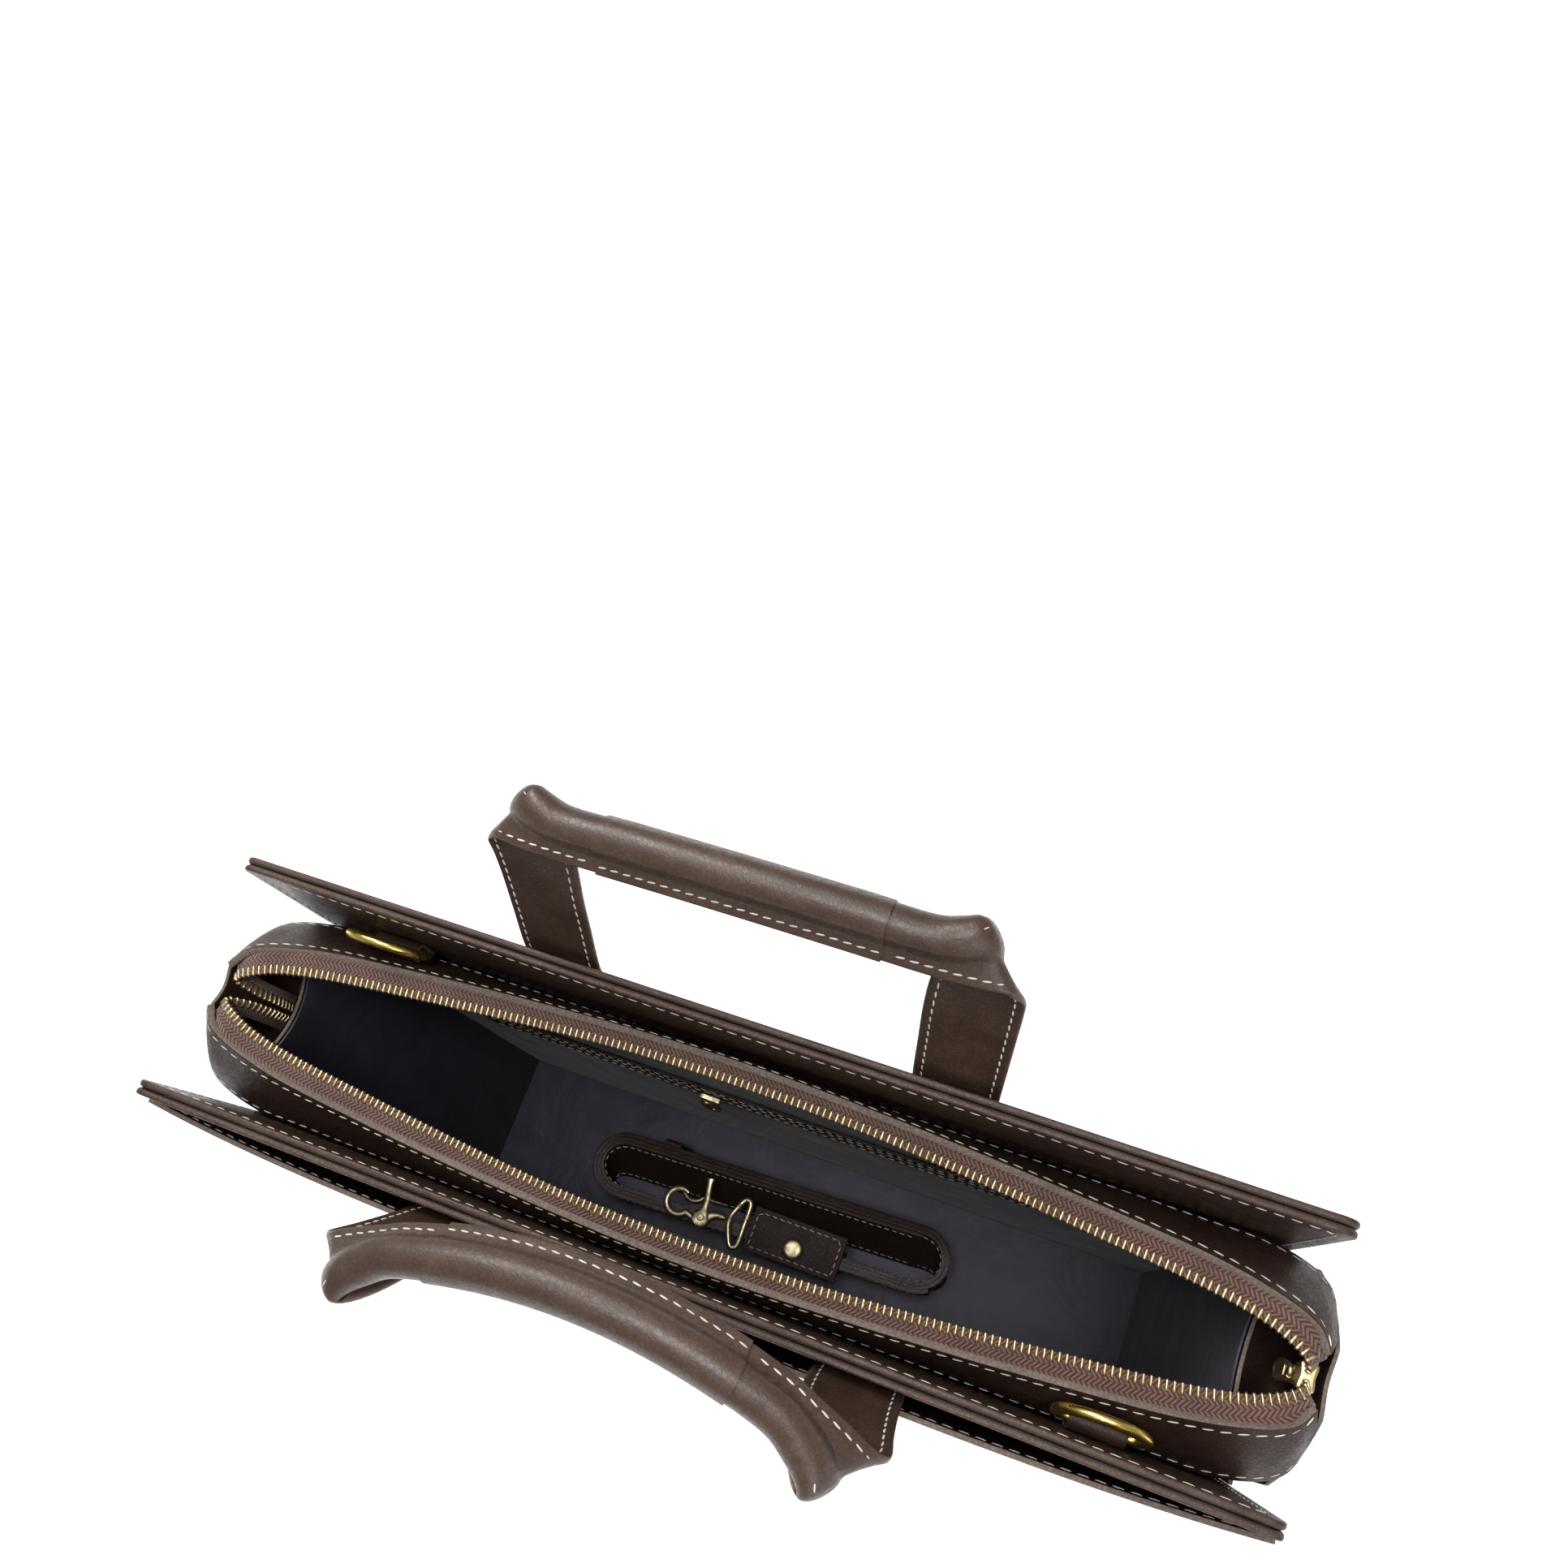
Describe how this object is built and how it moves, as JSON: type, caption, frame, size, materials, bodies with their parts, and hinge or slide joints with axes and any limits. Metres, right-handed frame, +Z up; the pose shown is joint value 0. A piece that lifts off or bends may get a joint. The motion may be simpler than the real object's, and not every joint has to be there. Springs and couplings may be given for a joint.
{
  "type": "leather briefcase",
  "caption": "Stiff-sided leather briefcase standing open, with rolled handles, zip, lined compartment, pockets and a coiled shoulder strap.",
  "frame": {"origin": "middle of the base's underside, on the floor", "axes": "+X along the bag's length, +Y towards its rear, +Z up"},
  "size_m": [0.425, 0.1542, 0.3644],
  "materials": {
    "rear_outer_panel": "dark brown, smooth, satin",
    "rear_panel_board": "leatherboard, raw",
    "rear_inner_panel": "dark brown, smooth, satin",
    "front_outer_panel": "dark brown, smooth, satin",
    "front_panel_board": "leatherboard, raw",
    "front_inner_panel": "dark brown, smooth, satin",
    "base_leather": "dark brown, smooth, satin",
    "base_board": "leatherboard, raw",
    "end_gusset_left": "dark brown, smooth, satin",
    "end_gusset_right": "dark brown, smooth, satin",
    "front_pocket_wall": "dark brown, smooth, satin",
    "rear_zip_strip": "dark brown, smooth, satin",
    "front_zip_strip": "dark brown, smooth, satin",
    "rear_zip_tape": "herringbone tape, matt",
    "front_zip_tape": "herringbone tape, matt",
    "rear_zip_chain": "polished",
    "front_zip_chain": "polished",
    "main_slider": "polished",
    "joined_zip_chain": "polished",
    "rear_lining": "dark slate, soft satin",
    "front_lining": "dark slate, soft satin",
    "lining_floor": "dark slate, soft satin",
    "left_lining_end": "dark slate, soft satin",
    "right_lining_end": "dark slate, soft satin",
    "left_end_facing": "raw edge, taupe",
    "right_end_facing": "raw edge, taupe",
    "inner_pocket_trim": "dark brown, smooth, satin",
    "inner_zip_tape": "herringbone tape, matt",
    "inner_zip_chain": "antique",
    "inner_pocket_pouch": "dark slate, soft satin",
    "ring_tab_rear_left": "dark brown, smooth, satin",
    "ring_tab_front_right": "dark brown, smooth, satin",
    "rear_handle_anchor_left": "dark brown, smooth, satin",
    "rear_handle_anchor_right": "dark brown, smooth, satin",
    "front_handle_anchor_left": "dark brown, smooth, satin",
    "front_handle_anchor_right": "dark brown, smooth, satin",
    "rear_handle_strap_left": "dark brown, smooth, satin",
    "rear_handle_strap_right": "dark brown, smooth, satin",
    "rear_handle_grip": "dark brown, smooth, satin",
    "rear_handle_core": "cotton rope",
    "front_handle_strap_left": "dark brown, smooth, satin",
    "front_handle_strap_right": "dark brown, smooth, satin",
    "front_handle_grip": "dark brown, smooth, satin",
    "front_handle_core": "cotton rope",
    "d_ring_rear_left": "bright plated",
    "d_ring_front_right": "bright plated",
    "main_pull": "polished",
    "inner_slider": "antique",
    "inner_pull": "antique",
    "shoulder_strap_coil": "dark brown, smooth, satin",
    "strap_keeper_rear_left": "dark brown, smooth, satin",
    "strap_keeper_front_right": "dark brown, smooth, satin",
    "strap_tab": "dark brown, smooth, satin",
    "tab_rivet": "antique",
    "hook_loop": "antique",
    "second_hook": "antique",
    "hook_body": "antique",
    "hook_pin": "antique",
    "hook_lever": "antique"
  },
  "bodies": {
    "bag": {"rear_outer_panel": "rear_outer_panel", "rear_panel_board": "rear_panel_board", "rear_inner_panel": "rear_inner_panel", "front_outer_panel": "front_outer_panel", "front_panel_board": "front_panel_board", "front_inner_panel": "front_inner_panel", "base_leather": "base_leather", "base_board": "base_board", "end_gusset_left": "end_gusset_left", "end_gusset_right": "end_gusset_right", "front_pocket_wall": "front_pocket_wall", "rear_zip_strip": "rear_zip_strip", "front_zip_strip": "front_zip_strip", "rear_zip_tape": "rear_zip_tape", "front_zip_tape": "front_zip_tape", "rear_zip_chain": "rear_zip_chain", "front_zip_chain": "front_zip_chain", "main_slider": "main_slider", "joined_zip_chain": "joined_zip_chain", "rear_lining": "rear_lining", "front_lining": "front_lining", "lining_floor": "lining_floor", "left_lining_end": "left_lining_end", "right_lining_end": "right_lining_end", "left_end_facing": "left_end_facing", "right_end_facing": "right_end_facing", "inner_pocket_trim": "inner_pocket_trim", "inner_zip_tape": "inner_zip_tape", "inner_zip_chain": "inner_zip_chain", "inner_pocket_pouch": "inner_pocket_pouch", "ring_tab_rear_left": "ring_tab_rear_left", "ring_tab_front_right": "ring_tab_front_right", "rear_handle_anchor_left": "rear_handle_anchor_left", "rear_handle_anchor_right": "rear_handle_anchor_right", "front_handle_anchor_left": "front_handle_anchor_left", "front_handle_anchor_right": "front_handle_anchor_right"},
    "rear_handle": {"rear_handle_strap_left": "rear_handle_strap_left", "rear_handle_strap_right": "rear_handle_strap_right", "rear_handle_grip": "rear_handle_grip", "rear_handle_core": "rear_handle_core"},
    "front_handle": {"front_handle_strap_left": "front_handle_strap_left", "front_handle_strap_right": "front_handle_strap_right", "front_handle_grip": "front_handle_grip", "front_handle_core": "front_handle_core"},
    "ring_rear_left": {"d_ring_rear_left": "d_ring_rear_left"},
    "ring_front_right": {"d_ring_front_right": "d_ring_front_right"},
    "main_pull": {"main_pull": "main_pull"},
    "inner_slider": {"inner_slider": "inner_slider"},
    "inner_pull": {"inner_pull": "inner_pull"},
    "shoulder_strap": {"shoulder_strap_coil": "shoulder_strap_coil", "strap_keeper_rear_left": "strap_keeper_rear_left", "strap_keeper_front_right": "strap_keeper_front_right", "strap_tab": "strap_tab", "tab_rivet": "tab_rivet", "hook_loop": "hook_loop", "second_hook": "second_hook"},
    "hook": {"hook_body": "hook_body", "hook_pin": "hook_pin"},
    "hook_lever": {"hook_lever": "hook_lever"}
  },
  "joints": [
    {"name": "rear_handle_hinge", "type": "hinge", "parent": "bag", "child": "rear_handle", "pos_m": [0, 0.0483, 0.284], "axis": [1, 0, 0], "range_deg": [-94, 20]},
    {"name": "front_handle_hinge", "type": "hinge", "parent": "bag", "child": "front_handle", "pos_m": [0, -0.0483, 0.284], "axis": [1, 0, 0], "range_deg": [-15, 15]},
    {"name": "ring_rear_left_hinge", "type": "hinge", "parent": "bag", "child": "ring_rear_left", "pos_m": [-0.148, 0.0372, 0.26271], "axis": [1, 0, 0], "range_deg": [-14, 14]},
    {"name": "ring_front_right_hinge", "type": "hinge", "parent": "bag", "child": "ring_front_right", "pos_m": [0.148, -0.0372, 0.26271], "axis": [1, 0, 0], "range_deg": [-14, 14]},
    {"name": "main_pull_hinge", "type": "hinge", "parent": "bag", "child": "main_pull", "pos_m": [0.19902, 0, 0.263], "axis": [0, 1, 0], "range_deg": [0, 150]},
    {"name": "inner_slider_slide", "type": "slide", "parent": "bag", "child": "inner_slider", "axis": [1, 0, 0], "range_m": [-0.095, 0.158]},
    {"name": "inner_pull_hinge", "type": "hinge", "parent": "inner_slider", "child": "inner_pull", "pos_m": [-0.032, 0.027, 0.1792], "axis": [1, 0, 0], "range_deg": [-150, 0]},
    {"name": "shoulder_strap_lift", "type": "slide", "parent": "bag", "child": "shoulder_strap", "axis": [0, 0, 1], "range_m": [0, 0.18]},
    {"name": "hook_swivel", "type": "hinge", "parent": "shoulder_strap", "child": "hook", "pos_m": [-0.033, -0.016, 0.0456], "axis": [1, 0, 0], "range_deg": [-3, 3]},
    {"name": "hook_lever_hinge", "type": "hinge", "parent": "hook", "child": "hook_lever", "pos_m": [-0.046, -0.02, 0.0466], "axis": [0, 0, 1], "range_deg": [0, 22], "stiffness_Nm_per_rad": 0.05}
  ]
}
